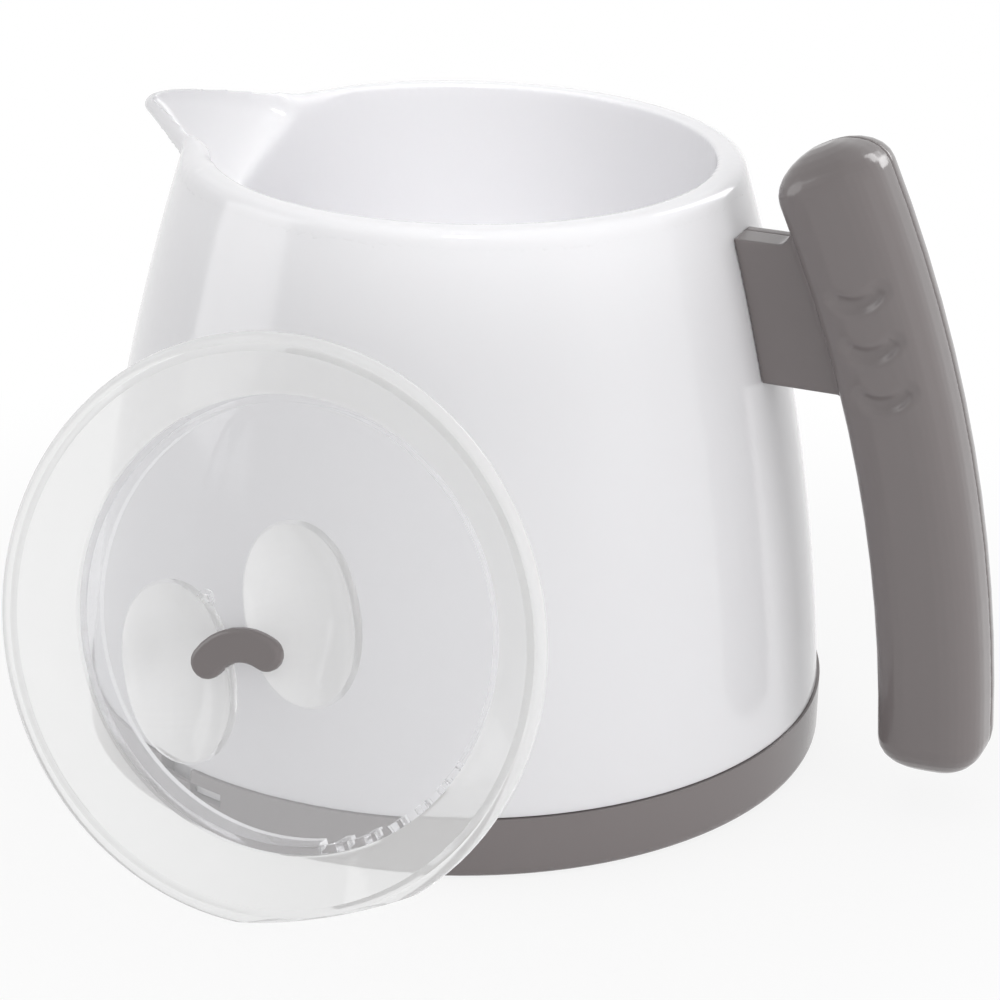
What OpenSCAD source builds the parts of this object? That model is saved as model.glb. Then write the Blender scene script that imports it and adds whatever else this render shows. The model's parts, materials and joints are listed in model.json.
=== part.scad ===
// Double-walled microwave jug with a twist-off base, a two-part handle and a clear strainer lid.
// The lid is shown taken off, standing on the table and leaning on the jug.
// Millimetres. Origin: on the jug's axis, on the table. +Z up, handle towards +X, spout towards -X.

/* [Body] */
// How far the foot of the white body stands in from the base's edge
foot_inset = 0.55; // [0.3:0.05:1.2]
// Outer diameter of the body's wall at the height of the rim
rim_d = 101.1; // [90:0.1:125]
// Height of the rim above the table
rim_h = 111; // [100:0.5:130]
// How far the wall bows out from a straight line
wall_bow = 3; // [1:0.1:6]
// Thickness of the outer shell
shell_t = 2; // [1.5:0.1:2.6]
// Rounding of the rim's outer edge
rim_round = 2.4; // [2:0.1:4]

/* [Bowl] */
// Diameter of the bowl's mouth at the crest of the rim
mouth_d = 91.4; // [84:0.1:94]
// Diameter of the bowl's floor
bowl_floor_d = 84; // [70:0.5:88]
// Height of the bowl's floor above the table
bowl_floor_z = 10; // [7:0.5:20]
// Rounding between the bowl's wall and floor
bowl_corner = 9; // [4:0.5:16]
// Thickness of the bowl
bowl_t = 2; // [1.5:0.1:2.4]

/* [Spout] */
// Distance from the jug's axis to the tip of the spout
spout_reach = 64.4; // [60:0.1:70]
// Height of the spout's tip above the rim
spout_rise = 2.7; // [1:0.1:5]
// Height of the spout's edges above the rim where they cross it
spout_step = 1.4; // [0.6:0.1:2]
// Half of the angle between the places where the edges cross the rim
spout_half_angle = 19; // [16:0.5:26]
// Angle along the rim over which the edges run out
spout_run_out = 9; // [6:0.5:14]
// Radius of the spout's nose, seen from above
spout_nose = 7.5; // [5:0.1:9]
// Height of the spout's root below the rim
spout_root = 10; // [8:0.5:15]
// Radius of the spout's keel at the root
spout_keel = 4; // [3:0.1:5]
// Thickness of the spout's wall
spout_t = 1.6; // [1.4:0.1:2]
// Rounding of the spout's edge
spout_lip = 1.5; // [1:0.1:2]

/* [Base] */
// Outer diameter of the base
base_d = 140; // [121:0.1:171]
// Height of the base
base_h = 11.5; // [10:0.1:15]
// Thickness of the base's floor
base_floor_t = 2.5; // [2:0.1:4]
// Thickness of the base's ring wall
base_wall_t = 3; // [2.6:0.1:4]
// Rounding of the base's lower edge
base_round = 2; // [1:0.1:3]
// Depth of the ring-shaped relief under the base
relief_depth = 0.8; // [0.4:0.1:1.4]
// Inner diameter of that relief
relief_inner_d = 60; // [40:1:80]
// Width of the foot ring outside that relief
foot_ring_w = 9; // [6:0.5:14]

/* [Twist lock] */
// Number of lugs around the foot of the shell
lug_count = 2; // [2:1:4]
// Direction of the first lug
lug_angle = -105.5; // [-180:0.5:180]
// Width of a lug, measured along the ring
lug_w = 6.8; // [5:0.1:10]
// Height of a lug
lug_h = 2.2; // [1.6:0.1:3]
// How far a lug stands out from the spigot
lug_out = 1.6; // [1.2:0.1:1.8]
// Depth of a lug's top below the top of the base
lug_drop = 2.6; // [2:0.1:3.4]
// Width of the notch that a lug enters by
notch_w = 7.8; // [7.2:0.1:11]
// Length of the spigot that stands in the base
spigot_h = 7.5; // [6.5:0.1:8]

/* [Handle] */
// Distance from the jug's axis to the grip's inner face at its foot
grip_x = 85.5; // [80:0.5:100]
// Height at which the grip's curve runs straight up
grip_level = 2; // [-5:0.5:10]
// Radius of the grip's inner face
grip_arc_r = 250.5; // [200:0.5:320]
// Depth of the grip, from the inner to the outer face
grip_depth = 19.6; // [16:0.1:26]
// Width of the grip, from side to side
grip_w = 20; // [16:0.1:26]
// Length of the grip's rounded ends
grip_end = 7; // [5:0.1:10]
// Height of the grip's lower end
grip_bottom = 7.2; // [4:0.1:20]
// Height of the grip's upper end
grip_top = 120.4; // [112:0.1:130]
// Squareness of the grip's section, where 2 is an ellipse
grip_square = 3.2; // [2.4:0.1:4]
// Height of the bracket's lower edge
bracket_z = 76.8; // [60:0.1:80]
// Height of the bracket
bracket_h = 25.8; // [22:0.1:30]
// Thickness of the bracket
bracket_t = 8.8; // [8:0.1:12]
// Rounding between the bracket's top and the grip
fillet_r = 2.4; // [1.5:0.1:4]
// Distance of the parting face from the middle plane
parting = 1.8; // [0.8:0.1:2]
// Number of grip dents on each side
dent_count = 3; // [1:1:4]
// Height of the middle of the highest grip dent
dent_z = 95.6; // [88:0.1:98]
// Distance from one grip dent to the next
dent_pitch = 8.6; // [7:0.1:10]
// Radius of a grip dent's bend
dent_bend = 6; // [5:0.1:7]
// Angle that a grip dent's bend takes up
dent_sweep = 90; // [60:1:110]
// Width of a grip dent
dent_w = 3.5; // [2.5:0.1:4.5]
// Depth of a grip dent
dent_depth = 0.6; // [0.4:0.1:1.2]
// Thickness of the tongue inside the bracket
tongue_t = 3.2; // [2.6:0.1:4]
// Diameter of the pegs through the tongue
peg_d = 4.4; // [3.6:0.1:5]

/* [Lid] */
// Outer diameter of the lid
lid_d = 99.8; // [96:0.1:108]
// Thickness of the lid's plastic
lid_t = 1.6; // [1.2:0.1:2]
// Width of the flat flange around the dish
flange_w = 3.2; // [2.4:0.1:4]
// Radius of the bead along the lid's edge
bead_r = 1.1; // [0.9:0.1:1.5]
// How far the lid's edge is drawn in beside the strainer
edge_in = 1.6; // [0.4:0.1:3]
// Radius of that flatter stretch of edge
edge_r = 100; // [80:1:140]
// Direction of that flatter stretch of edge
edge_dir = -70; // [-180:1:180]
// Diameter of the dish's floor
dish_d = 78.2; // [74:0.1:82]
// Depth of the dish
dish_depth = 7; // [5:0.1:9]
// Height of the strainer skirt under the dish's floor
skirt_h = 7; // [6.5:0.1:9]
// Thickness of the strainer skirt
skirt_t = 1.4; // [1:0.1:2]
// Number of strainer slots
slot_count = 6; // [3:1:9]
// Width of a strainer slot
slot_w = 3.6; // [2:0.1:4]
// Spacing of the strainer slots around the skirt
slot_pitch = 5.6; // [5.4:0.1:7]
// Distance of the slots' tops below the dish's floor
slot_drop = 0.8; // [0.5:0.1:1.5]
// Middle of the strainer
strainer_dir = -52; // [-180:1:180]

/* [Lid grip] */
// Place of the finger grip on the lid, to the side
grip_side = -7.9; // [-10:0.1:10]
// Place of the finger grip on the lid, upwards
grip_up = -4.5; // [-10:0.1:10]
// Turn of the finger grip on the lid
grip_turn = 17; // [-90:1:90]
// Half of the distance between the finger wells
well_apart = 12.4; // [12:0.1:15]
// How far the wells are staggered along the ridge
well_stagger = 3.5; // [0:0.1:6]
// Length of a finger well
well_l = 31; // [26:0.1:34]
// Width of a finger well
well_w = 19.8; // [16:0.1:21]
// Depth of a finger well
well_depth = 5.8; // [4:0.1:7]
// Radius of the knob's bend
knob_bend = 8.35; // [7:0.05:10]
// Width of the knob
knob_w = 6; // [5:0.1:7]
// Angle that the knob's bend takes up between its round ends
knob_sweep = 85; // [60:1:110]
// Height of the knob
knob_h = 2; // [1.8:0.1:4]
// Rounding of the knob's upper edge
knob_round = 1; // [0.5:0.1:1.5]
// Diameter of the knob's stem
stem_d = 2.6; // [2:0.1:3]
// Diameter of the steam hole
vent_d = 1.6; // [1:0.1:2]
// Steam hole's place beside the knob, across the ridge
vent_across = -4.2; // [-5:0.1:-3]
// Steam hole's place beside the knob, along the ridge
vent_along = 8.4; // [7.5:0.1:12]

/* [Lid's place] */
// Angle by which the lid leans back from upright
lean = 14; // [8:0.5:20]
// How far to the side of the jug's middle the lid stands
lid_aside = 0.1; // [-10:0.1:10]

/* [Fits] */
// Gap between the base and the shell
base_gap = 0.2; // [0.15:0.01:0.4]
// Gap around a lug in its groove
lug_gap = 0.3; // [0.2:0.01:0.5]
// Gap between the handle and the shell
handle_gap = 0.05; // [0.02:0.01:0.2]
// Gap around the tongue and the pegs
tongue_gap = 0.1; // [0.05:0.01:0.2]
// Gap around the knob's stem
stem_gap = 0.05; // [0.02:0.01:0.1]
// Gap between the leaning lid and the shell
lean_gap = 0.3; // [0.2:0.05:0.6]

/* [Hidden] */
white = [0.95, 0.95, 0.96];
grey = [0.51, 0.49, 0.48];
clear = [0.86, 0.9, 0.92, 0.45];
$fn = 96;
// Sides of a full circle as large as the wall's curve
arc_fn = 1440;
// Overlap of joined forms, and reach of cuts past a face
eps = 0.01;
far = 400;

// Curve of the body's wall: one arc from the top of the base to the height of the rim
foot_d = base_d - 2 * foot_inset;
wall_low = [foot_d / 2, base_h];
wall_high = [rim_d / 2, rim_h];
wall_chord = norm(wall_high - wall_low);
wall_dir = (wall_high - wall_low) / wall_chord;
wall_r = (pow(wall_chord / 2, 2) + pow(wall_bow, 2)) / (2 * wall_bow);
wall_c = (wall_low + wall_high) / 2 - (wall_r - wall_bow) * [wall_dir.y, -wall_dir.x];
function wall_radius(z) = wall_c.x + sqrt(pow(wall_r, 2) - pow(z - wall_c.y, 2));

// Rim: a round edge tangent to the wall and to the rim's top
seam_z = rim_h - rim_round;
rim_c = [wall_c.x + sqrt(pow(wall_r - rim_round, 2) - pow(seam_z - wall_c.y, 2)), seam_z];
rim_tangent = wall_c + wall_r * (rim_c - wall_c) / norm(rim_c - wall_c);

// Spout: middles of the balls that shape its sides and its root, outside and in the channel
side_r = spout_t + spout_lip * 2 / 3;
side_at = rim_c.x * [-cos(spout_half_angle), sin(spout_half_angle)];
side_z = rim_h + spout_step - side_r;
inner_side_z = rim_h - side_r - spout_t / 8;
root_x = -wall_radius(rim_h - spout_root) + spout_keel;
// How far these balls are repeated towards the bowl
spout_inward = rim_d / 2 - mouth_d / 2;
run_out_r = spout_t;

// Base and twist lock
ring_inner_r = base_d / 2 - base_wall_t;
spigot_r = ring_inner_r - base_gap;
spigot_z = base_h - spigot_h;
shoulder_z = base_h + base_gap;
lug_z = base_h - lug_drop - lug_h;
lug_r = spigot_r + lug_out;
groove_r = lug_r + lug_gap;
lug_sweep = lug_w / lug_r * 180 / PI;
gap_sweep = lug_gap / lug_r * 180 / PI;
notch_sweep = notch_w / lug_r * 180 / PI;
lock_turn = lug_sweep / 2 + notch_sweep / 2;

// Grip: an arc in the middle plane, from the lower to the upper end
grip_c = [grip_x - grip_arc_r, grip_level];
grip_mid_r = grip_arc_r + grip_depth / 2;
grip_from = asin((grip_bottom - grip_level) / grip_mid_r);
grip_to = asin((grip_top - grip_level) / grip_mid_r);
grip_end_angle = grip_end / grip_mid_r * 180 / PI;
section_points = 36;
end_rings = 7;
grip_rings = 12;

// Bracket and the tongue inside it
tongue_margin = 3;
tongue_z = bracket_z + tongue_margin;
tongue_h = bracket_h - 2 * tongue_margin;
// How far the tongue stops short of the grip's inner face
tongue_short = 1.5;
tongue_back_r = grip_arc_r - tongue_short;
peg_inset = 4.2;

// Lid in its own frame: the flange's top at zero, the dish below it
lid_r = lid_d / 2;
dish_r = dish_d / 2;
dish_top_r = lid_r - flange_w;
skirt_draft = 0.3;
skirt_low = -dish_depth - skirt_h;
floor_low = -dish_depth - lid_t;
slot_angle = slot_pitch / dish_r * 180 / PI;
slot_top = floor_low - slot_drop;

// Finger well: a scoop cut by a ring whose axis lies above the dish
scoop_outer = (pow(well_l / 2, 2) / well_depth + well_depth) / 2;
scoop_lift = scoop_outer - well_depth;
scoop_tube = (pow(well_w / 2, 2) + pow(well_depth, 2)) / (2 * well_depth);
scoop_ring = scoop_outer - scoop_tube;

// Steps in each arc of the knob's outline and rounding
knob_steps = 8;

// Leaning place: the flange's lower edge on the table, the skirt's edge against the shell
lid_z = lid_r * cos(lean) + lid_t * sin(lean);
function skirt_point(a) = [(dish_r - skirt_draft) * cos(a), (dish_r - skirt_draft) * sin(a), skirt_low];
function lean_y(p) = p.y * sin(lean) - p.z * cos(lean);
function lean_z(p) = p.y * cos(lean) + p.z * sin(lean);
function reach_y(p) = -sqrt(pow(wall_radius(lid_z + lean_z(p)) + lean_gap, 2) - pow(p.x + lid_aside, 2));
lid_y = min([for (a = [0 : 3 : 357]) reach_y(skirt_point(a)) - lean_y(skirt_point(a))]);

// Half plane of a revolved outline between two heights
module strip(low, high) {
    translate([0, low])
        square([far, high - low]);
}

// Outline inside the wall's curve, moved out by an amount
module wall_disc(out = 0) {
    intersection() {
        translate(wall_c)
            circle(r = wall_r + out, $fn = arc_fn);
        strip(-far, far);
    }
}

// Outline of a bowl with a drafted wall and a round floor edge
module bowl_outline(top_r, floor_r, floor_z, corner) {
    draft = atan((top_r - floor_r) / (rim_h - floor_z));
    c = [floor_r + corner * tan(draft) - corner / cos(draft), floor_z + corner];
    polygon([
        [0, floor_z],
        [c.x, floor_z],
        c,
        c + corner * [cos(draft), -sin(draft)],
        [top_r, rim_h],
        [0, rim_h]
    ]);
    translate(c)
        circle(r = corner);
}

// Outline of the rim, from the bowl's crest to the shell's outer face
module rim_outline() {
    polygon([
        [mouth_d / 2 - eps, seam_z],
        rim_c,
        [rim_c.x, rim_h],
        [mouth_d / 2 - eps, rim_h]
    ]);
    intersection() {
        wall_disc();
        strip(seam_z, rim_tangent.y);
    }
    intersection() {
        translate(rim_c)
            circle(r = rim_round);
        strip(seam_z, rim_h);
    }
}

// Balls along the spout's sides and keel, made smaller by an amount, with copies towards the bowl
module spout_balls(inset) {
    for (side = [-1, 1]) {
        translate([side_at.x, side * side_at.y, side_z])
            sphere(r = side_r - inset, $fn = 16);
        translate([side_at.x + spout_inward, side * side_at.y, inner_side_z])
            sphere(r = side_r - inset, $fn = 16);
    }
    for (inward = [0, spout_inward])
        translate([root_x + inward, 0, rim_h - spout_root])
            sphere(r = spout_keel - inset, $fn = 20);
}

// Outside of the spout, with edges that run out along the rim
module spout_outer() {
    hull() {
        translate([-spout_reach + spout_nose, 0, rim_h + spout_rise - spout_lip])
            rotate_extrude($fn = 36) {
                square([spout_nose - spout_lip, spout_lip]);
                translate([spout_nose - spout_lip, 0])
                    intersection() {
                        circle(r = spout_lip, $fn = 16);
                        square(2 * spout_lip);
                    }
            }
        spout_balls(0);
    }
    for (side = [-1, 1])
        hull() {
            translate([side_at.x, side * side_at.y, side_z])
                sphere(r = side_r, $fn = 16);
            rotate([0, 0, 180 - side * (spout_half_angle + spout_run_out)])
                translate([rim_c.x, 0, rim_h - run_out_r - spout_t / 8])
                    sphere(r = run_out_r, $fn = 12);
        }
}

// Channel of the spout, open above and towards the bowl
module spout_channel() {
    over = 3 * spout_rise;
    hull() {
        translate([-spout_reach + spout_nose, 0, rim_h + spout_rise - spout_lip])
            cylinder(r = spout_nose - spout_t, h = over, $fn = 36);
        for (lift = [0, over])
            translate([0, 0, lift])
                spout_balls(spout_t);
    }
}

module shell() {
    color(white)
    difference() {
        union() {
            rotate_extrude() {
                intersection() {
                    difference() {
                        wall_disc();
                        wall_disc(-shell_t);
                    }
                    strip(shoulder_z, seam_z);
                }
                translate([spigot_r - shell_t, shoulder_z])
                    square([foot_d / 2 - shell_t / 2 - spigot_r + shell_t, shell_t]);
                translate([spigot_r - shell_t, spigot_z])
                    square([shell_t, spigot_h + base_gap + eps]);
            }
            for (i = [0 : lug_count - 1])
                lug(lug_angle + i * 360 / lug_count);
            tongue();
        }
        spout_outer();
    }
}

// Part of a ring between two directions, two radii and two heights
module ring_block(from, to, inner_r, outer_r, low, high) {
    rotate([0, 0, from])
        rotate_extrude(angle = to - from)
            translate([inner_r, low])
                square([outer_r - inner_r, high - low]);
}

// Lug on the spigot in a direction
module lug(direction) {
    ring_block(direction - lug_sweep / 2, direction + lug_sweep / 2, spigot_r - shell_t / 2, lug_r,
        lug_z, lug_z + lug_h);
}

// Middle of the upper or lower peg, in the middle plane
function tongue_back(z) = grip_c.x + sqrt(pow(tongue_back_r, 2) - pow(z - grip_c.y, 2));
function peg_at(z) = [(wall_radius(z) + tongue_back(z)) / 2, z];
pegs = [peg_at(tongue_z + peg_inset), peg_at(tongue_z + tongue_h - peg_inset)];

// Extrusion across the middle plane, between two distances from it
module across(from, to) {
    translate([0, to, 0])
        rotate([90, 0, 0])
            linear_extrude(to - from)
                children();
}

// Tongue on the shell that the bracket's halves clamp
module tongue() {
    difference() {
        across(-tongue_t / 2, tongue_t / 2)
            difference() {
                tongue_outline(0);
                for (p = pegs)
                    translate(p)
                        circle(d = peg_d + 2 * tongue_gap);
            }
        rotate_extrude()
            wall_disc(-shell_t / 2);
    }
}

// Side view of the tongue, grown by an amount
module tongue_outline(grow) {
    intersection() {
        strip(tongue_z - grow, tongue_z + tongue_h + grow);
        translate(grip_c)
            circle(r = tongue_back_r + grow, $fn = arc_fn);
    }
}

module liner() {
    color(white)
    difference() {
        union() {
            rotate_extrude() {
                intersection() {
                    bowl_outline(mouth_d / 2 + bowl_t, bowl_floor_d / 2 + bowl_t, bowl_floor_z - bowl_t,
                        bowl_corner + bowl_t);
                    strip(0, seam_z + eps);
                }
                rim_outline();
            }
            spout_outer();
        }
        rotate_extrude()
            bowl_outline(mouth_d / 2, bowl_floor_d / 2, bowl_floor_z, bowl_corner);
        spout_channel();
    }
}

module base() {
    color(grey)
    difference() {
        rotate_extrude()
            difference() {
                union() {
                    square([base_d / 2 - base_round, base_h]);
                    translate([0, base_round])
                        square([base_d / 2, base_h - base_round]);
                    translate([base_d / 2 - base_round, base_round])
                        circle(r = base_round);
                }
                translate([-eps, base_floor_t])
                    square([ring_inner_r + eps, base_h]);
                translate([relief_inner_d / 2, -eps])
                    square([base_d / 2 - foot_ring_w - relief_inner_d / 2, relief_depth + eps]);
            }
        for (i = [0 : lug_count - 1])
            lock_cut(lug_angle + i * 360 / lug_count);
    }
}

// Cut in the base's ring for one lug: a groove, the way into it, a notch and a window
module lock_cut(direction) {
    entry = direction - lock_turn;
    half = notch_sweep / 2;
    window = lug_sweep / 2 + gap_sweep / 2;
    inner = ring_inner_r - base_wall_t / 2;
    outer = base_d / 2 + base_wall_t / 2;
    over = base_h + base_wall_t;
    groove_end = direction + lug_sweep / 2 + gap_sweep;
    groove_low = lug_z - lug_gap;
    ring_block(entry, groove_end, inner, groove_r, groove_low, lug_z + lug_h + lug_gap);
    ring_block(entry - half - gap_sweep, entry + half + gap_sweep, inner, groove_r + lug_gap / 2,
        groove_low - lug_gap / 2, over);
    ring_block(entry - half, entry + half, inner, outer, base_h - lug_drop, over);
    ring_block(direction - window, direction + window, inner, outer, lug_z - lug_gap / 2,
        lug_z + lug_h + lug_gap / 2);
}

// Size of the grip's section at an angle along its arc, from 0 at an end to 1
function end_taper(a) =
    let (d = min(a - grip_from, grip_to - a) / grip_end_angle)
    d >= 1 ? 1 : sqrt(1 - pow(1 - d, 2));
function signed_pow(v, e) = sign(v) * pow(abs(v), e);
function section_point(t, size) = size * [
    grip_depth / 2 * signed_pow(cos(t), 2 / grip_square),
    grip_w / 2 * signed_pow(sin(t), 2 / grip_square)
];
function grip_point(a, q) = [
    grip_c.x + (grip_mid_r + q.x) * cos(a),
    q.y,
    grip_c.y + (grip_mid_r + q.x) * sin(a)
];
// Angles of the rings: close together in the rounded ends, evenly spaced between them
end_steps = [for (i = [1 : end_rings]) grip_end_angle * (1 - cos(90 * i / end_rings))];
grip_angles = concat(
    [for (s = end_steps) grip_from + s],
    [for (i = [1 : grip_rings - 1])
        grip_from + grip_end_angle + i * (grip_to - grip_from - 2 * grip_end_angle) / grip_rings],
    [for (i = [end_rings - 1 : -1 : 0]) grip_to - end_steps[i]]
);

// Closed skin over rings of n points each, given in one list
module skin(points, n) {
    rings = len(points) / n;
    sides = [for (r = [0 : rings - 2], i = [0 : n - 1], half = [0, 1])
        let (j = (i + 1) % n, low = r * n, high = low + n)
        half == 0 ? [low + i, high + i, high + j] : [low + i, high + j, low + j]];
    caps = [
        [for (i = [0 : n - 1]) i],
        [for (i = [n - 1 : -1 : 0]) (rings - 1) * n + i]
    ];
    polyhedron(points, concat(sides, caps));
}

// Whole grip as one skin over its rings
module grip() {
    n = section_points;
    skin([for (a = grip_angles, i = [0 : n - 1])
        grip_point(a, section_point(360 * i / n, end_taper(a)))], n);
}

// One grip dent, bent like a smile, on the side that faces a direction
module dent(z, side) {
    a = asin((z - grip_level) / grip_mid_r);
    tube = (pow(dent_w / 2, 2) + pow(dent_depth, 2)) / (2 * dent_depth);
    translate(grip_point(a, [0, side * (grip_w / 2 + tube - dent_depth)]))
        rotate([90, 90 - a, 0])
            translate([-dent_bend, 0, 0])
                rotate([0, 0, -dent_sweep / 2])
                    rotate_extrude(angle = dent_sweep)
                        translate([dent_bend, 0])
                            circle(r = tube, $fn = 32);
}

// Side view of the rounding between the bracket's top and the grip
module fillet_outline() {
    top = bracket_z + bracket_h;
    lean_in = asin((top - grip_level) / grip_arc_r);
    corner = 90 - lean_in;
    run = fillet_r / tan(corner / 2);
    steps = 8;
    bury = fillet_r / 40;
    translate([grip_c.x + grip_arc_r * cos(lean_in), top - bury])
        polygon(concat(
            [for (i = [0 : steps])
                let (t = -90 + (180 - corner) * i / steps)
                [-run, fillet_r] + fillet_r * [cos(t), sin(t)]],
            [[0, run * sin(corner)], [fillet_r, -bury], [-run, -bury]]
        ));
}

// Grip and bracket together, without what divides them
module handle_body(side) {
    difference() {
        union() {
            grip();
            difference() {
                across(-bracket_t / 2, bracket_t / 2) {
                    intersection() {
                        strip(bracket_z, bracket_z + bracket_h);
                        translate(grip_c)
                            circle(r = grip_arc_r + grip_depth / 4, $fn = arc_fn);
                    }
                    fillet_outline();
                }
                rotate_extrude()
                    wall_disc(handle_gap);
            }
        }
        for (i = [0 : dent_count - 1])
            dent(dent_z - i * dent_pitch, side);
    }
}

// Space on one side of the parting face
module side_space(from, to) {
    translate([0, from, -far])
        cube([far, to - from, 2 * far]);
}

module handle_near() {
    color(grey) {
        difference() {
            handle_body(-1);
            side_space(parting, far);
            across(-tongue_t / 2 - tongue_gap, far)
                tongue_outline(tongue_gap);
        }
        for (p = pegs)
            across(-tongue_t / 2 - tongue_gap - eps, peg_top())
                translate(p)
                    circle(d = peg_d);
    }
}

// Distance of the pegs' tips from the middle plane
function peg_top() = (parting + bracket_t / 2) / 2;

module handle_far() {
    color(grey)
    difference() {
        handle_body(1);
        side_space(-far, parting);
        for (p = pegs)
            across(0, peg_top() + tongue_gap)
                translate(p)
                    circle(d = peg_d + 2 * tongue_gap);
    }
}

// Puts the lid's own frame where the lid leans on the jug
module leaning() {
    translate([lid_aside, lid_y, lid_z])
        rotate([90 - lean, 0, 0])
            children();
}

// Puts the finger grip's frame on the dish's floor
module on_grip() {
    translate([grip_side, grip_up, -dish_depth])
        rotate([0, 0, grip_turn])
            children();
}

// Places of the two finger wells
module wells() {
    for (turn = [0, 180])
        rotate([0, 0, turn])
            translate([well_apart, well_stagger, 0])
                children();
}

// Ring that scoops a finger well, grown by an amount
module scoop(grow) {
    translate([0, 0, scoop_lift])
        rotate([0, 90, 0])
            rotate_extrude()
                intersection() {
                    translate([scoop_ring, 0])
                        circle(r = scoop_tube + grow);
                    translate([0, -far])
                        square([far, 2 * far]);
                }
}

// Revolved outline of the lid: bead, flange, dish and skirt
module lid_outline() {
    wall_low_r = dish_r + lid_t / 2;
    polygon([
        [0, -dish_depth],
        [dish_r, -dish_depth],
        [dish_top_r, 0],
        [lid_r - bead_r, 0],
        [lid_r - bead_r, -lid_t],
        [dish_top_r + lid_t / 2, -lid_t],
        [wall_low_r, floor_low],
        [dish_r, floor_low],
        [dish_r - skirt_draft, skirt_low],
        [dish_r - skirt_draft - skirt_t, skirt_low],
        [dish_r - skirt_t, floor_low],
        [0, floor_low]
    ]);
    translate([lid_r - bead_r, -lid_t / 2])
        circle(r = bead_r, $fn = 32);
}

// Strainer slots, open at the skirt's lower edge
module slots() {
    for (i = [0 : slot_count - 1])
        rotate([0, 0, strainer_dir + (i - (slot_count - 1) / 2) * slot_angle])
            translate([dish_r, 0, slot_top - slot_w / 2])
                rotate([0, 90, 0]) {
                    cylinder(d = slot_w, h = 4 * skirt_t, center = true, $fn = 32);
                    translate([0, -slot_w / 2, -2 * skirt_t])
                        cube([skirt_h, slot_w, 4 * skirt_t]);
                }
}

module lid() {
    color(clear)
    leaning()
        difference() {
            union() {
                intersection() {
                    rotate_extrude()
                        lid_outline();
                    rotate([0, 0, edge_dir])
                        translate([lid_r - edge_in - edge_r, 0, -far / 2])
                            cylinder(r = edge_r, h = far, $fn = 360);
                }
                on_grip()
                    intersection() {
                        wells()
                            scoop(lid_t);
                        translate([0, 0, -far - eps])
                            cylinder(r = dish_r / 2 + well_l / 2, h = far);
                    }
                on_grip()
                    translate([vent_across, vent_along, -eps])
                        cylinder(d = 2 * vent_d, h = vent_d / 3 + eps, $fn = 32);
            }
            on_grip() {
                wells()
                    scoop(0);
                translate([vent_across, vent_along, -2 * lid_t])
                    cylinder(d = vent_d, h = 4 * lid_t, $fn = 32);
                translate([0, 0, -far / 2])
                    cylinder(d = stem_d + 2 * stem_gap, h = far, $fn = 32);
            }
            slots();
        }
}

// Outline of the knob: a bent bar with round ends, half as wide as given, its middle at the origin
function knob_end(a, half, from) = [for (i = [1 : knob_steps - 1])
    let (t = from + 180 * i / knob_steps)
    knob_bend * [cos(a), sin(a)] + half * [cos(t), sin(t)]];
function knob_side(from, to, r) = [for (i = [0 : knob_steps])
    let (t = from + (to - from) * i / knob_steps)
    r * [cos(t), sin(t)]];
function knob_outline(half) =
    let (low = 90 - knob_sweep / 2, high = 90 + knob_sweep / 2)
    concat(
        knob_side(low, high, knob_bend + half),
        knob_end(high, half, high),
        knob_side(high, low, knob_bend - half),
        knob_end(low, half, low + 180)
    );
function knob_ring(inset, z) = [for (p = knob_outline(knob_w / 2 - inset)) [p.x, p.y - knob_bend, z]];

module lid_knob() {
    ring_points = 4 * knob_steps;
    rounded = [for (i = [0 : knob_steps])
        let (t = 90 * i / knob_steps)
        each knob_ring(knob_round * (1 - cos(t)), knob_h - knob_round * (1 - sin(t)))];
    color(grey)
    leaning()
        on_grip() {
            skin(concat(knob_ring(0, 0), rounded), ring_points);
            translate([0, 0, -2 * lid_t])
                cylinder(d = stem_d, h = 2 * lid_t + knob_h / 2, $fn = 32);
        }
}

shell();
liner();
base();
handle_near();
handle_far();
lid();
lid_knob();
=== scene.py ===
import json
import math

import bmesh
import bpy
from mathutils import Matrix, Vector

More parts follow.
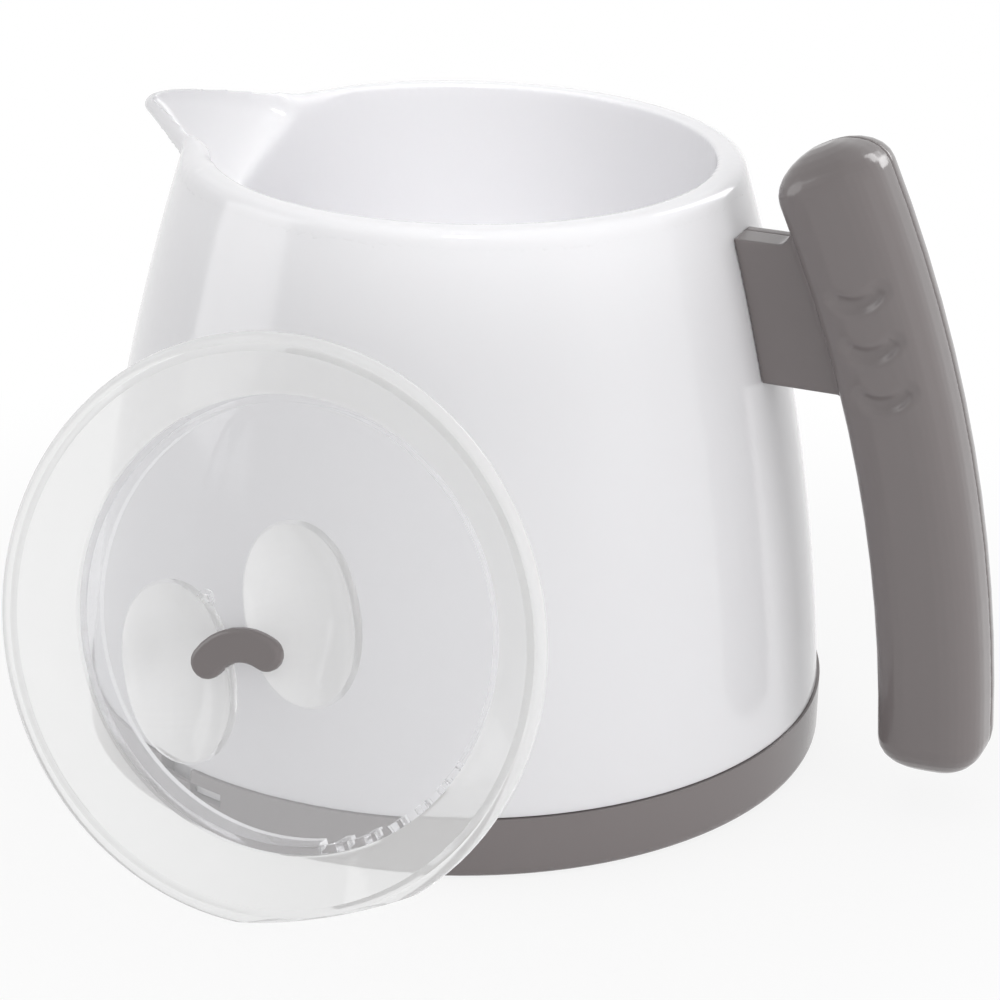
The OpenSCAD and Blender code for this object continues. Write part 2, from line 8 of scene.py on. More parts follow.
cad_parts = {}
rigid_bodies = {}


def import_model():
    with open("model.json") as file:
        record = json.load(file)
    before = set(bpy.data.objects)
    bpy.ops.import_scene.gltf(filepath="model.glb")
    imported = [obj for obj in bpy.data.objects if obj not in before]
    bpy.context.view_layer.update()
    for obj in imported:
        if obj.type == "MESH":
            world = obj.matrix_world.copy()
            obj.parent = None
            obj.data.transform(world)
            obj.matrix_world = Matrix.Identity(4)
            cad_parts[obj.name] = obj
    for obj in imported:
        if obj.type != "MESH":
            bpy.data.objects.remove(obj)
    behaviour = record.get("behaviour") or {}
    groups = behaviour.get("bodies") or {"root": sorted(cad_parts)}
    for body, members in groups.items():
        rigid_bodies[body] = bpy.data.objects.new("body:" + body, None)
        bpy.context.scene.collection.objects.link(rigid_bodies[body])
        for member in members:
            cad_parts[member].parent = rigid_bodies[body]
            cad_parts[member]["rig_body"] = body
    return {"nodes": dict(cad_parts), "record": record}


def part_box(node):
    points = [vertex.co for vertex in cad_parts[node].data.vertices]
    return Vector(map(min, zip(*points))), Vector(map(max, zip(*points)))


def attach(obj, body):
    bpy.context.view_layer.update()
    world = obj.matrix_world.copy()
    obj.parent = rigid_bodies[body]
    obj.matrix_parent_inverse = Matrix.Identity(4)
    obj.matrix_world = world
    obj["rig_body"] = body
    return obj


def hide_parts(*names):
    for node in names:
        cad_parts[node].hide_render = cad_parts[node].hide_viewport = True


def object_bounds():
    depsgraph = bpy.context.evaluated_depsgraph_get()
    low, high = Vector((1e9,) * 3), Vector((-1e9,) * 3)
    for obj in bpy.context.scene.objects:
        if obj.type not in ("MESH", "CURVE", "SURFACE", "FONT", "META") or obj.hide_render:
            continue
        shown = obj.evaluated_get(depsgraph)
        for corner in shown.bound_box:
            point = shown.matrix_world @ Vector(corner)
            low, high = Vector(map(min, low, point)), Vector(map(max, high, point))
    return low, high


bl_info = {
    "name": "Microwave jug",
    "version": (1, 0, 0),
    "blender": (4, 5, 0),
    "location": "3D View > Sidebar > Jug",
    "description": "Finishes the microwave jug in moulded plastics and sets up its studio",
    "category": "Object",
}

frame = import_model()
CAD_BOX = [list(corner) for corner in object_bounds()]
NODES = frame["nodes"]
JOINTS = frame["record"]["behaviour"]["joints"]
LIFT_AXIS = Vector(next(j["axis"] for j in JOINTS if j["name"] == "lid_lift"))
MM = 0.001

# Mesh joins and shading
WELD = 2e-6
SOFT_EDGE = math.radians(32)
FACE_WEIGHT = 50
SMOOTHING = 0.5

# Voxel size and smoothing rounds of the moulded copies
HANDLE_GRAIN, HANDLE_ROUNDS = 0.35 * MM, 3
BOWL_GRAIN, BOWL_ROUNDS = 0.45 * MM, 3
KNOB_GRAIN, KNOB_ROUNDS = 0.16 * MM, 8

# Dents in the grip, on the arc that the grip follows in the side view
ARC_CENTRE = Vector((-165 * MM, 2 * MM))
ARC_MIDDLE = 260.3 * MM
DENT_HEIGHTS = (95.6 * MM, 87.0 * MM, 78.4 * MM)
DENT_BEND = 6 * MM
DENT_HALF = math.radians(45)
DENT_REACH = 2.6 * MM
DENT_MORE = 0.6 * MM
DENT_SIDE = (4 * MM, 7 * MM)

# Underside of the rim, and the blend of the spout's channel into the bowl
RIM_UNDER = 48 * MM
RIM_EDGE = 50.5 * MM
RIM_TUCK = 1.2 * MM
SEAM_BAND = 0.02 * MM
WALL_SLOPE = 0.32
CHANNEL_FROM = (36 * MM, 42 * MM)
TURNED_IN = (-0.1, 0.3)
LIP_KEPT = (0.8 * MM, 3 * MM)
RIM_KEPT = (-1 * MM, 3 * MM)
LEAST_BLEND = 0.01
CHANNEL_ROUNDS = 120
BOWL_KEEP = 0.2

# Clear and cloudy parts of the lid, as radii and heights along its own axis
DISH_EDGE = 39.5 * MM
WELLS_EDGE = 36 * MM
DISH_TOP = -7.1 * MM
DISH_UNDER = -8.75 * MM

# Optics of the plastics
WHITE_IOR, GREY_IOR, CLEAR_IOR = 1.5, 1.48, 1.3
PEEL_HEIGHT = 0.08 * MM
LAMP_TINT = (0.99, 0.99, 0.99, 1)

# Floor: plain white far from the jug, with the shadow kept near it
FLOOR_SIZE = 6
FLOOR_DROP = 0.2 * MM
FLOOR_NEAR, FLOOR_FAR = 0.09, 0.2
FLOOR_LIFT = 0.85
FLOOR_COLOUR = (0.9, 0.9, 0.9, 1)

# Camera
SENSOR_WIDTH = 36.0
CLIP_NEAR, CLIP_FAR = 0.01, 20

# Lamps: place from the jug's middle (right, forward and up in the view), width and height,
# and what they light
MIDDLE = Vector((0, 0, 60 * MM))
ALL, NO_GLOSS, ONLY_GLOSS = "all", "no_gloss", "only_gloss"
LAMPS = {
    "key": ((-0.15, -0.8, 0.85), (0.5, 0.5), ALL),
    "left": ((-0.7, -0.1, 0.25), (0.25, 0.7), ALL),
    "right": ((0.7, -0.5, 0.02), (0.4, 0.7), NO_GLOSS),
    "band": ((-0.7, -0.05, 0.1), (0.45, 0.8), ONLY_GLOSS),
    "edge": ((0.55, 0.45, 0.42), (0.2, 0.6), ONLY_GLOSS),
    "top": ((0, 0.1, 0.8), (0.6, 0.6), ALL),
}
BOWL_LAMP = (0, -0.4, 0.6)
BOWL_SPOT = 40 * MM
BOWL_SOFT, BOWL_BLEND = 0.03, 0.5


# Sizes and colours

class JugPlastics(bpy.types.PropertyGroup):
    """Colours and gloss of the three plastics."""
    white: bpy.props.FloatVectorProperty(
        name="White", description="Colour of the body and the bowl", subtype="COLOR",
        size=3, min=0, max=1, default=(0.86, 0.855, 0.875))
    grey: bpy.props.FloatVectorProperty(
        name="Grey", description="Colour of the handle, the base and the knob", subtype="COLOR",
        size=3, min=0, max=1, default=(0.205, 0.183, 0.182))
    clear: bpy.props.FloatVectorProperty(
        name="Clear", description="Tint of the lid", subtype="COLOR",
        size=3, min=0, max=1, default=(0.955, 0.955, 0.965))
    cloudy: bpy.props.FloatVectorProperty(
        name="Cloudy", description="Tint of the lid's flange, wall and wells, where the plastic is cloudier",
        subtype="COLOR", size=3, min=0, max=1, default=(0.985, 0.985, 0.985))
    white_gloss: bpy.props.FloatProperty(
        name="White roughness", description="Roughness of the white plastic", subtype="FACTOR",
        min=0, max=1, default=0.12)
    grey_gloss: bpy.props.FloatProperty(
        name="Grey roughness", description="Roughness of the grey plastic", subtype="FACTOR",
        min=0, max=1, default=0.17)
    clear_gloss: bpy.props.FloatProperty(
        name="Clear roughness", description="Roughness of the clear plastic", subtype="FACTOR",
        min=0, max=1, default=0.03)
    clear_share: bpy.props.FloatProperty(
        name="Clearness", description="Share of the light that the lid lets through", subtype="FACTOR",
        min=0, max=1, default=0.8)
    cloudy_share: bpy.props.FloatProperty(
        name="Cloudiness", description="Share of the light that the lid's cloudier parts let through",
        subtype="FACTOR", min=0, max=1, default=0.56)


class JugStudio(bpy.types.PropertyGroup):
    """Camera, floor and lamps."""
    camera_place: bpy.props.FloatVectorProperty(
        name="Camera", description="Where the camera stands", subtype="TRANSLATION", unit="LENGTH",
        size=3, default=(0.2079, -0.4899, 0.2601))
    camera_turn: bpy.props.FloatProperty(
        name="Turn", description="Direction of view, from the jug's middle plane", subtype="ANGLE",
        default=math.radians(23) - 0.015)
    camera_pitch: bpy.props.FloatProperty(
        name="Pitch", description="Downward tilt of the view", subtype="ANGLE", default=0.388)
    camera_roll: bpy.props.FloatProperty(
        name="Roll", description="Roll of the view", subtype="ANGLE", default=0.023)
    camera_lens: bpy.props.FloatProperty(
        name="Lens", description="Focal length on a 36 mm sensor", subtype="DISTANCE_CAMERA",
        unit="CAMERA", default=109.4845)
    ambient: bpy.props.FloatProperty(
        name="Ambient", description="Light from all round", min=0, default=0.7)
    key_power: bpy.props.FloatProperty(
        name="Key", description="Power of the large lamp in front, above the camera", subtype="POWER",
        unit="POWER", min=0, default=0.15)
    left_power: bpy.props.FloatProperty(
        name="Left", description="Power of the tall lamp at the left", subtype="POWER", unit="POWER",
        min=0, default=0.15)
    right_power: bpy.props.FloatProperty(
        name="Right", description="Power of the tall lamp at the right", subtype="POWER", unit="POWER",
        min=0, default=2.9)
    top_power: bpy.props.FloatProperty(
        name="Top", description="Power of the lamp overhead", subtype="POWER", unit="POWER",
        min=0, default=0.2)
    band_power: bpy.props.FloatProperty(
        name="Band", description="Power of the wide panel at the left that only shows in gloss",
        subtype="POWER", unit="POWER", min=0, default=2.0)
    edge_power: bpy.props.FloatProperty(
        name="Edge", description="Power of the panel behind the handle that only shows in gloss",
        subtype="POWER", unit="POWER", min=0, default=1.5)
    bowl_power: bpy.props.FloatProperty(
        name="Bowl", description="Power of the narrow lamp that shines into the bowl", subtype="POWER",
        unit="POWER", min=0, default=25.0)


# Shader tools

def link(tree, source, target):
    tree.links.new(source, target)


def add(tree, kind, **values):
    """A new node with its properties or inputs set."""
    n = tree.nodes.new(kind)
    for name, value in values.items():
        if hasattr(n, name):
            setattr(n, name, value)
        else:
            n.inputs[name.replace("_", " ")].default_value = value
    return n


def group_tree(name, inputs, outputs):
    """An empty shader group with named sockets, and its input and output nodes."""
    tree = bpy.data.node_groups.new(name, "ShaderNodeTree")
    for label, kind, value in inputs:
        s = tree.interface.new_socket(label, in_out="INPUT", socket_type=kind)
        s.default_value = value
    for label, kind in outputs:
        tree.interface.new_socket(label, in_out="OUTPUT", socket_type=kind)
    return tree, tree.nodes.new("NodeGroupInput"), tree.nodes.new("NodeGroupOutput")


def moulded_surface():
    """Group: colour, roughness and fine relief of moulded plastic, with flow marks and orange peel."""
    name = "moulded_surface"
    if name in bpy.data.node_groups:
        return bpy.data.node_groups[name]
    tree, given, out = group_tree(
        name,
        [("Color", "NodeSocketColor", (0.8, 0.8, 0.8, 1)), ("Roughness", "NodeSocketFloat", 0.25),
         ("Mottle", "NodeSocketFloat", 0.03), ("Peel", "NodeSocketFloat", 900.0)],
        [("Color", "NodeSocketColor"), ("Roughness", "NodeSocketFloat"), ("Height", "NodeSocketFloat")])
    at = add(tree, "ShaderNodeTexCoord")
    flow = add(tree, "ShaderNodeTexNoise", Scale=38.0, Detail=3.0, Roughness=0.55, Distortion=0.6)
    link(tree, at.outputs["Object"], flow.inputs["Vector"])
    centred = add(tree, "ShaderNodeMath", operation="SUBTRACT")
    link(tree, flow.outputs["Fac"], centred.inputs[0])
    centred.inputs[1].default_value = 0.5
    mottle = add(tree, "ShaderNodeMath", operation="MULTIPLY")
    link(tree, centred.outputs[0], mottle.inputs[0])
    link(tree, given.outputs["Mottle"], mottle.inputs[1])
    gain = add(tree, "ShaderNodeMath", operation="ADD")
    link(tree, mottle.outputs[0], gain.inputs[0])
    gain.inputs[1].default_value = 1.0
    shade = add(tree, "ShaderNodeVectorMath", operation="SCALE")
    link(tree, given.outputs["Color"], shade.inputs[0])
    link(tree, gain.outputs[0], shade.inputs["Scale"])
    link(tree, shade.outputs[0], out.inputs["Color"])
    rough = add(tree, "ShaderNodeMath", operation="MULTIPLY_ADD")
    link(tree, centred.outputs[0], rough.inputs[0])
    rough.inputs[1].default_value = 0.05
    link(tree, given.outputs["Roughness"], rough.inputs[2])
    link(tree, rough.outputs[0], out.inputs["Roughness"])
    peel = add(tree, "ShaderNodeTexNoise", Detail=2.0, Roughness=0.5)
    link(tree, at.outputs["Object"], peel.inputs["Vector"])
    link(tree, given.outputs["Peel"], peel.inputs["Scale"])
    link(tree, peel.outputs["Fac"], out.inputs["Height"])
    return tree


def plastic_base(name, colour, roughness, mottle, peel, relief):
    """A material with a moulded surface, and its Principled node."""
    m = bpy.data.materials.new(name)
    m.use_nodes = True
    tree = m.node_tree
    p = tree.nodes["Principled BSDF"]
    skin = add(tree, "ShaderNodeGroup", node_tree=moulded_surface())
    skin.inputs["Color"].default_value = (*colour, 1)
    skin.inputs["Roughness"].default_value = roughness
    skin.inputs["Mottle"].default_value = mottle
    skin.inputs["Peel"].default_value = peel
    bump = add(tree, "ShaderNodeBump", Strength=relief, Distance=PEEL_HEIGHT)
    link(tree, skin.outputs["Color"], p.inputs["Base Color"])
    link(tree, skin.outputs["Roughness"], p.inputs["Roughness"])
    link(tree, skin.outputs["Height"], bump.inputs["Height"])
    link(tree, bump.outputs["Normal"], p.inputs["Normal"])
    return m, p


def white_plastic():
    """White plastic with a little depth."""
    name = "white_moulding"
    if name in bpy.data.materials:
        return bpy.data.materials[name]
    s = bpy.context.scene.jug_plastics
    m, p = plastic_base(name, s.white, s.white_gloss, mottle=0.012, peel=700.0, relief=0.12)
    p.inputs["IOR"].default_value = WHITE_IOR
    p.inputs["Subsurface Weight"].default_value = 0.12
    p.inputs["Subsurface Radius"].default_value = (1.0, 0.95, 0.95)
    p.inputs["Subsurface Scale"].default_value = 0.002
    return m


def grey_plastic():
    """Grey plastic of the handle, the base and the knob."""
    name = "grey_moulding"
    if name in bpy.data.materials:
        return bpy.data.materials[name]
    s = bpy.context.scene.jug_plastics
    m, p = plastic_base(name, s.grey, s.grey_gloss, mottle=0.02, peel=1100.0, relief=0.16)
    p.inputs["IOR"].default_value = GREY_IOR
    return m


def clear_plastic(name, tint, share):
    """Clear plastic that lets a share of the light through and is a little cloudy for the rest."""
    s = bpy.context.scene.jug_plastics
    m, p = plastic_base(name, tint, s.clear_gloss, mottle=0.01, peel=500.0, relief=0.1)
    p.inputs["IOR"].default_value = CLEAR_IOR
    p.inputs["Transmission Weight"].default_value = share
    tree = m.node_tree
    path = add(tree, "ShaderNodeLightPath")
    passing = add(tree, "ShaderNodeMath", operation="MAXIMUM")
    link(tree, path.outputs["Is Shadow Ray"], passing.inputs[0])
    link(tree, path.outputs["Is Diffuse Ray"], passing.inputs[1])
    through = add(tree, "ShaderNodeBsdfTransparent", Color=LAMP_TINT)
    mix = add(tree, "ShaderNodeMixShader")
    link(tree, passing.outputs[0], mix.inputs["Fac"])
    link(tree, p.outputs["BSDF"], mix.inputs[1])
    link(tree, through.outputs["BSDF"], mix.inputs[2])
    link(tree, mix.outputs["Shader"], tree.nodes["Material Output"].inputs["Surface"])
    return m


# Mesh tools

def weld_group():
    """Geometry group that joins a model's faces and rounds the shading over its soft edges."""
    name = "weld_and_soften"
    if name in bpy.data.node_groups:
        return bpy.data.node_groups[name]
    tree = bpy.data.node_groups.new(name, "GeometryNodeTree")
    tree.interface.new_socket("Geometry", in_out="INPUT", socket_type="NodeSocketGeometry")
    tree.interface.new_socket("Geometry", in_out="OUTPUT", socket_type="NodeSocketGeometry")
    given, out = tree.nodes.new("NodeGroupInput"), tree.nodes.new("NodeGroupOutput")
    weld = tree.nodes.new("GeometryNodeMergeByDistance")
    weld.inputs["Distance"].default_value = WELD
    smooth = tree.nodes.new("GeometryNodeSetShadeSmooth")
    smooth.domain = "FACE"
    crease = tree.nodes.new("GeometryNodeSetShadeSmooth")
    crease.domain = "EDGE"
    crease.inputs["Shade Smooth"].default_value = False
    angle = tree.nodes.new("GeometryNodeInputMeshEdgeAngle")
    sharp = tree.nodes.new("FunctionNodeCompare")
    sharp.data_type, sharp.operation = "FLOAT", "GREATER_THAN"
    sharp.inputs[1].default_value = SOFT_EDGE
    link(tree, given.outputs[0], weld.inputs["Geometry"])
    link(tree, weld.outputs["Geometry"], smooth.inputs["Geometry"])
    link(tree, smooth.outputs["Geometry"], crease.inputs["Geometry"])
    link(tree, angle.outputs["Unsigned Angle"], sharp.inputs[0])
    link(tree, sharp.outputs["Result"], crease.inputs["Selection"])
    link(tree, crease.outputs["Geometry"], out.inputs[0])
    return tree


def soften(obj):
    """Smooth shading for a model's own mesh, by modifiers only."""
    normals = obj.data.attributes.get("custom_normal")
    if normals is not None:
        obj.data.attributes.remove(normals)
    weld = obj.modifiers.new("weld", "NODES")
    weld.node_group = weld_group()
    even = obj.modifiers.new("even", "WEIGHTED_NORMAL")
    even.keep_sharp = True
    even.weight = FACE_WEIGHT


def tuck_rim(bm):
    """Lets the rim's underside reach a little into the shell, so that no groove opens along the seam."""
    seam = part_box("shell")[1][2]
    for v in bm.verts:
        r = v.co.xy.length
        if abs(v.co.z - seam) > SEAM_BAND or r < RIM_UNDER:
            continue
        v.co.z -= RIM_TUCK
        if r > RIM_EDGE:
            v.co.xy = v.co.xy * (1 + WALL_SLOPE * RIM_TUCK / r)


def moulded_copy(node, name, grain, rounds, prepare=None):
    """A finer copy of a model with its edges rounded as a mould rounds them. It stands for the model."""
    mesh = NODES[node].data.copy()
    mesh.name = name
    normals = mesh.attributes.get("custom_normal")
    if normals is not None:
        mesh.attributes.remove(normals)
    bm = bmesh.new()
    bm.from_mesh(mesh)
    bmesh.ops.remove_doubles(bm, verts=bm.verts, dist=WELD)
    if prepare is not None:
        prepare(bm)
    bm.to_mesh(mesh)
    bm.free()
    obj = bpy.data.objects.new(name, mesh)
    bpy.context.scene.collection.objects.link(obj)
    fine = obj.modifiers.new("fine", "REMESH")
    fine.mode, fine.voxel_size, fine.use_smooth_shade = "VOXEL", grain, True
    relax = obj.modifiers.new("relax", "SMOOTH")
    relax.factor, relax.iterations = SMOOTHING, rounds
    graph = bpy.context.evaluated_depsgraph_get()
    made = bpy.data.meshes.new_from_object(obj.evaluated_get(graph))
    obj.modifiers.clear()
    obj.data = made
    made.name = name
    bpy.data.meshes.remove(mesh)
    made.shade_smooth()
    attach(obj, NODES[node]["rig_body"])
    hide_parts(node)
    return obj


def ease(value, low, high):
    """0 below low, 1 above high and a smooth step between them."""
    t = min(max((value - low) / (high - low), 0.0), 1.0)
    return t * t * (3 - 2 * t)


def press_dents(obj):
    """Presses the grip's dents in a little further, so that they keep their depth after the smoothing."""
    for z in DENT_HEIGHTS:
        a = math.asin((z - ARC_CENTRE.y) / ARC_MIDDLE)
        out = Vector((math.cos(a), math.sin(a)))
        up = Vector((-out.y, out.x))
        centre = ARC_CENTRE + ARC_MIDDLE * out + DENT_BEND * up
        for v in obj.data.vertices:
            arm = Vector((v.co.x, v.co.z)) - centre
            if arm.length > DENT_BEND + DENT_REACH:
                continue
            turn = math.atan2(arm.dot(out), -arm.dot(up))
            turn = min(max(turn, -DENT_HALF), DENT_HALF)
            nearest = DENT_BEND * (math.sin(turn) * out - math.cos(turn) * up)
            share = 1 - ((arm - nearest).length / DENT_REACH) ** 2
            if share > 0:
                depth = DENT_MORE * share * share * ease(abs(v.co.y), *DENT_SIDE)
                v.co.y -= math.copysign(depth, v.co.y)


def blend_spout(obj):
    """Evens the bowl's wall and rounds the creases where the spout runs in. The lip keeps its edge."""
    lip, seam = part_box("liner")[1][2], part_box("shell")[1][2]
    inside = obj.vertex_groups.new(name="channel")
    for v in obj.data.vertices:
        outward = v.normal.xy.dot(v.co.xy.normalized())
        turned_in = ease(v.normal.z - outward, *TURNED_IN)
        channel = ease(-v.co.x, *CHANNEL_FROM) * ease(lip - v.co.z, *LIP_KEPT)
        weight = turned_in * max(channel, ease(seam - v.co.z, *RIM_KEPT))
        if weight > LEAST_BLEND:
            inside.add([v.index], weight, "REPLACE")
    relax = obj.modifiers.new("blend", "SMOOTH")
    relax.factor, relax.iterations, relax.vertex_group = SMOOTHING, CHANNEL_ROUNDS, "channel"
    thin = obj.modifiers.new("thin", "DECIMATE")
    thin.ratio = BOWL_KEEP
    graph = bpy.context.evaluated_depsgraph_get()
    made = bpy.data.meshes.new_from_object(obj.evaluated_get(graph))
    old = obj.data
    obj.modifiers.clear()
    obj.vertex_groups.clear()
    obj.data = made
    made.name = obj.name
    bpy.data.meshes.remove(old)
    made.shade_smooth()


def dress(obj, material):
    """Gives a piece its only material."""
    obj.data.materials.clear()
    obj.data.materials.append(material)


def lid_copy():
    """A copy of the lid whose flange, wall and finger wells are cloudier than its dish."""
    s = bpy.context.scene.jug_plastics
    mesh = NODES["lid"].data.copy()
    mesh.name = "lid_cover"
    obj = bpy.data.objects.new("lid_cover", mesh)
    bpy.context.scene.collection.objects.link(obj)
    mesh.materials.clear()
    mesh.materials.append(clear_plastic("clear_moulding", s.clear, s.clear_share))
    mesh.materials.append(clear_plastic("cloudy_moulding", s.cloudy, s.cloudy_share))
    low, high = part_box("lid")
    radius = (high[0] - low[0]) / 2
    centre = Vector((
        (low[0] + high[0]) / 2, low[1] + radius * LIFT_AXIS.z, low[2] - radius * LIFT_AXIS.y))
    for face in mesh.polygons:
        arms = [mesh.vertices[i].co - centre for i in face.vertices]
        lowest = min(a.dot(LIFT_AXIS) for a in arms)
        reach = max((a - a.dot(LIFT_AXIS) * LIFT_AXIS).length for a in arms)
        scooped = lowest < DISH_UNDER or (lowest < DISH_TOP and face.normal.dot(LIFT_AXIS) > 0)
        face.material_index = int(reach > DISH_EDGE or (reach < WELLS_EDGE and scooped))
    soften(obj)
    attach(obj, NODES["lid"]["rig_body"])
    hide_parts("lid")


def finish_node(name, material):
    """Gives a model its material and smooth shading."""
    obj = NODES[name]
    dress(obj, material)
    soften(obj)


# Pieces

class JUG_OT_body(bpy.types.Operator):
    """White outer shell"""
    bl_idname = "jug.body"
    bl_label = "Body"

    def execute(self, context):
        finish_node("shell", white_plastic())
        return {"FINISHED"}


class JUG_OT_bowl(bpy.types.Operator):
    """White bowl with its rim and spout"""
    bl_idname = "jug.bowl"
    bl_label = "Bowl"

    def execute(self, context):
        bowl = moulded_copy("liner", "bowl", BOWL_GRAIN, BOWL_ROUNDS, tuck_rim)
        blend_spout(bowl)
        dress(bowl, white_plastic())
        return {"FINISHED"}


class JUG_OT_base(bpy.types.Operator):
    """Grey base under the body"""
    bl_idname = "jug.base"
    bl_label = "Base"

    def execute(self, context):
        finish_node("base", grey_plastic())
        return {"FINISHED"}


class JUG_OT_handle(bpy.types.Operator):
    """Two halves of the handle"""
    bl_idname = "jug.handle"
    bl_label = "Handle"

    def execute(self, context):
        for node in ("handle_near", "handle_far"):
            half = moulded_copy(node, node.replace("handle", "grip"), HANDLE_GRAIN, HANDLE_ROUNDS)
            press_dents(half)
            dress(half, grey_plastic())
        return {"FINISHED"}


class JUG_OT_lid(bpy.types.Operator):
    """Clear lid with its finger wells"""
    bl_idname = "jug.lid"
    bl_label = "Lid"

    def execute(self, context):
        lid_copy()
        return {"FINISHED"}


class JUG_OT_knob(bpy.types.Operator):
    """Grey knob on the lid"""
    bl_idname = "jug.knob"
    bl_label = "Knob"

    def execute(self, context):
        knob = moulded_copy("lid_knob", "finger_knob", KNOB_GRAIN, KNOB_ROUNDS)
        dress(knob, grey_plastic())
        return {"FINISHED"}


# Stage

def view_axes():
    """Right, up and forward of the camera in the jug's frame."""
    s = bpy.context.scene.jug_studio
    turn, pitch, roll = s.camera_turn, s.camera_pitch, s.camera_roll
    right = Vector((math.cos(turn), math.sin(turn), 0))
    forward = Vector((
        -math.sin(turn) * math.cos(pitch), math.cos(turn) * math.cos(pitch), -math.sin(pitch)))
    up = right.cross(forward)
    rolled = math.cos(roll) * right + math.sin(roll) * up
    return rolled, rolled.cross(forward), forward


def place_camera():
    """Camera at the photograph's place."""
    s = bpy.context.scene.jug_studio
    right, up, forward = view_axes()
    data = bpy.data.cameras.new("camera")
    data.lens, data.sensor_width, data.sensor_fit = s.camera_lens, SENSOR_WIDTH, "HORIZONTAL"
    data.clip_start, data.clip_end = CLIP_NEAR, CLIP_FAR
    camera = bpy.data.objects.new("camera", data)
    m = Matrix((right, up, -forward)).transposed().to_4x4()
    m.translation = s.camera_place
    camera.matrix_world = m
    bpy.context.scene.collection.objects.link(camera)
    bpy.context.scene.camera = camera


def from_view(start, offset):
    """A point at an offset to the right, forward and up in the view, with the view's tilt left out."""
    right, up, forward = view_axes()
    flat_right = Vector((right.x, right.y, 0)).normalized()
    flat_forward = Vector((forward.x, forward.y, 0)).normalized()
    return start + offset[0] * flat_right + offset[1] * flat_forward + Vector((0, 0, offset[2]))


def hang(data, place, target):
    """A lamp at a place that faces a point."""
    obj = bpy.data.objects.new(data.name, data)
    obj.location = place
    obj.rotation_euler = (target - place).to_track_quat("-Z", "Y").to_euler()
    bpy.context.scene.collection.objects.link(obj)
    return obj


def panel_lamp(name, place, size, power, lights):
    """An area lamp that faces the jug's middle."""
    data = bpy.data.lights.new(name, "AREA")
    data.shape, data.size, data.size_y, data.energy = "RECTANGLE", *size, power
    obj = hang(data, place, MIDDLE)
    obj.visible_diffuse = lights != ONLY_GLOSS
    obj.visible_glossy = lights != NO_GLOSS


def bowl_lamp(place, target, power):
    """A narrow lamp whose light just fills the mouth of the bowl."""
    data = bpy.data.lights.new("bowl_spot", "SPOT")
    data.energy, data.spot_blend, data.shadow_soft_size = power, BOWL_BLEND, BOWL_SOFT
    data.spot_size = 2 * math.atan(BOWL_SPOT / (target - place).length)
    hang(data, place, target)


def seen_rays(tree):
    """1 for rays that show what they meet, in the picture, in gloss and through clear plastic, or else 0."""
    path = add(tree, "ShaderNodeLightPath")
    seen = add(tree, "ShaderNodeMath", operation="MAXIMUM")
    link(tree, path.outputs["Is Camera Ray"], seen.inputs[0])
    link(tree, path.outputs["Is Glossy Ray"], seen.inputs[1])
    shown = add(tree, "ShaderNodeMath", operation="MAXIMUM")
    link(tree, seen.outputs[0], shown.inputs[0])
    link(tree, path.outputs["Is Transmission Ray"], shown.inputs[1])
    return shown.outputs[0]


def white_room():
    """World that lights softly and shows white behind the jug and in its gloss."""
    s = bpy.context.scene.jug_studio
    world = bpy.data.worlds.new("white_room")
    bpy.context.scene.world = world
    world.use_nodes = True
    tree = world.node_tree
    tree.nodes.clear()
    level = add(tree, "ShaderNodeMapRange")
    link(tree, seen_rays(tree), level.inputs["Value"])
    level.inputs["To Min"].default_value = s.ambient
    level.inputs["To Max"].default_value = 1.0
    back = add(tree, "ShaderNodeBackground", Color=(1, 1, 1, 1))
    link(tree, level.outputs["Result"], back.inputs["Strength"])
    out = add(tree, "ShaderNodeOutputWorld")
    link(tree, back.outputs["Background"], out.inputs["Surface"])


def floor_finish():
    """White floor that keeps the shadow near the jug and is plain white further out."""
    m = bpy.data.materials.new("floor")
    m.use_nodes = True
    tree = m.node_tree
    p = tree.nodes["Principled BSDF"]
    p.inputs["Base Color"].default_value = FLOOR_COLOUR
    p.inputs["Roughness"].default_value = 0.9
    p.inputs["Specular IOR Level"].default_value = 0.0
    at = add(tree, "ShaderNodeTexCoord")
    distance = add(tree, "ShaderNodeVectorMath", operation="LENGTH")
    link(tree, at.outputs["Object"], distance.inputs[0])
    spread = add(tree, "ShaderNodeMapRange", interpolation_type="SMOOTHSTEP")
    link(tree, distance.outputs["Value"], spread.inputs["Value"])
    spread.inputs["From Min"].default_value = FLOOR_NEAR
    spread.inputs["From Max"].default_value = FLOOR_FAR
    spread.inputs["To Min"].default_value = FLOOR_LIFT
    spread.inputs["To Max"].default_value = 1.0
    share = add(tree, "ShaderNodeMath", operation="MULTIPLY")
    link(tree, seen_rays(tree), share.inputs[0])
    link(tree, spread.outputs["Result"], share.inputs[1])
    glow = add(tree, "ShaderNodeEmission", Color=(1, 1, 1, 1), Strength=1.0)
    mix = add(tree, "ShaderNodeMixShader")
    link(tree, share.outputs[0], mix.inputs["Fac"])
    link(tree, p.outputs["BSDF"], mix.inputs[1])
    link(tree, glow.outputs["Emission"], mix.inputs[2])
    link(tree, mix.outputs["Shader"], tree.nodes["Material Output"].inputs["Surface"])
    return m


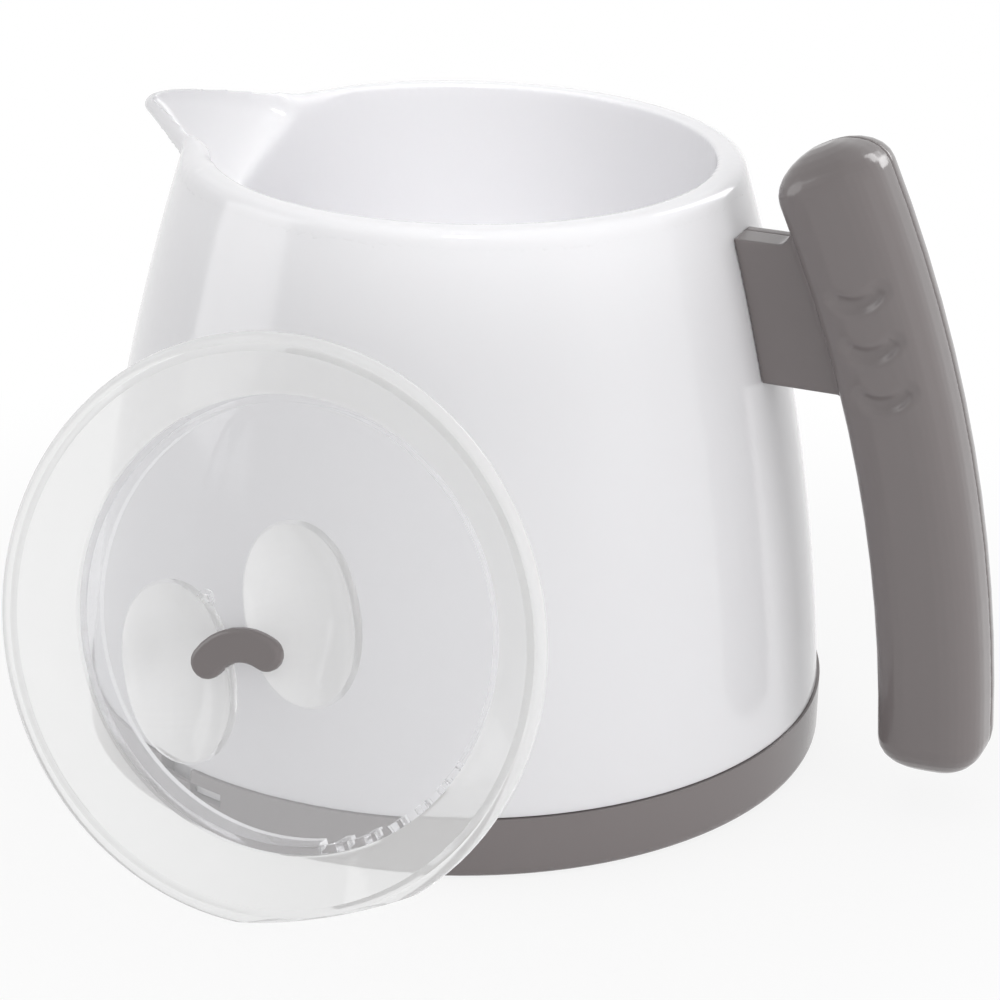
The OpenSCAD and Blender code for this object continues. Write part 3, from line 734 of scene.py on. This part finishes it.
class JUG_OT_studio(bpy.types.Operator):
    """Floor, lamps, world and camera"""
    bl_idname = "jug.studio"
    bl_label = "Studio"

    def execute(self, context):
        s = context.scene.jug_studio
        context.scene.view_settings.view_transform = "Standard"
        white_room()
        bpy.ops.mesh.primitive_plane_add(size=FLOOR_SIZE, location=(0, 0, CAD_BOX[0][2] - FLOOR_DROP))
        floor = context.object
        floor.name = "floor"
        floor.data.materials.append(floor_finish())
        place_camera()
        for name, (offset, size, lights) in LAMPS.items():
            panel_lamp(name, from_view(MIDDLE, offset), size, getattr(s, name + "_power"), lights)
        mouth = Vector((0, 0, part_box("liner")[1][2]))
        bowl_lamp(from_view(mouth, BOWL_LAMP), mouth, s.bowl_power)
        return {"FINISHED"}


class JUG_PT_panel(bpy.types.Panel):
    """Colours and steps of the jug"""
    bl_idname = "JUG_PT_panel"
    bl_label = "Jug"
    bl_space_type = "VIEW_3D"
    bl_region_type = "UI"
    bl_category = "Jug"

    def draw(self, context):
        for group in (context.scene.jug_plastics, context.scene.jug_studio):
            box = self.layout.box()
            for name in group.bl_rna.properties.keys():
                if name not in ("rna_type", "name"):
                    box.prop(group, name)
        for step in STEPS:
            self.layout.operator(step.bl_idname)


STEPS = (JUG_OT_body, JUG_OT_bowl, JUG_OT_base, JUG_OT_handle, JUG_OT_lid, JUG_OT_knob, JUG_OT_studio)
CLASSES = (JugPlastics, JugStudio, *STEPS, JUG_PT_panel)


def register():
    for c in CLASSES:
        bpy.utils.register_class(c)
    bpy.types.Scene.jug_plastics = bpy.props.PointerProperty(type=JugPlastics)
    bpy.types.Scene.jug_studio = bpy.props.PointerProperty(type=JugStudio)


def unregister():
    del bpy.types.Scene.jug_studio
    del bpy.types.Scene.jug_plastics
    for c in reversed(CLASSES):
        bpy.utils.unregister_class(c)


def main():
    register()
    bpy.ops.jug.body()
    bpy.ops.jug.bowl()
    bpy.ops.jug.base()
    bpy.ops.jug.handle()
    bpy.ops.jug.lid()
    bpy.ops.jug.knob()
    bpy.ops.jug.studio()


if __name__ == "__main__":
    main()
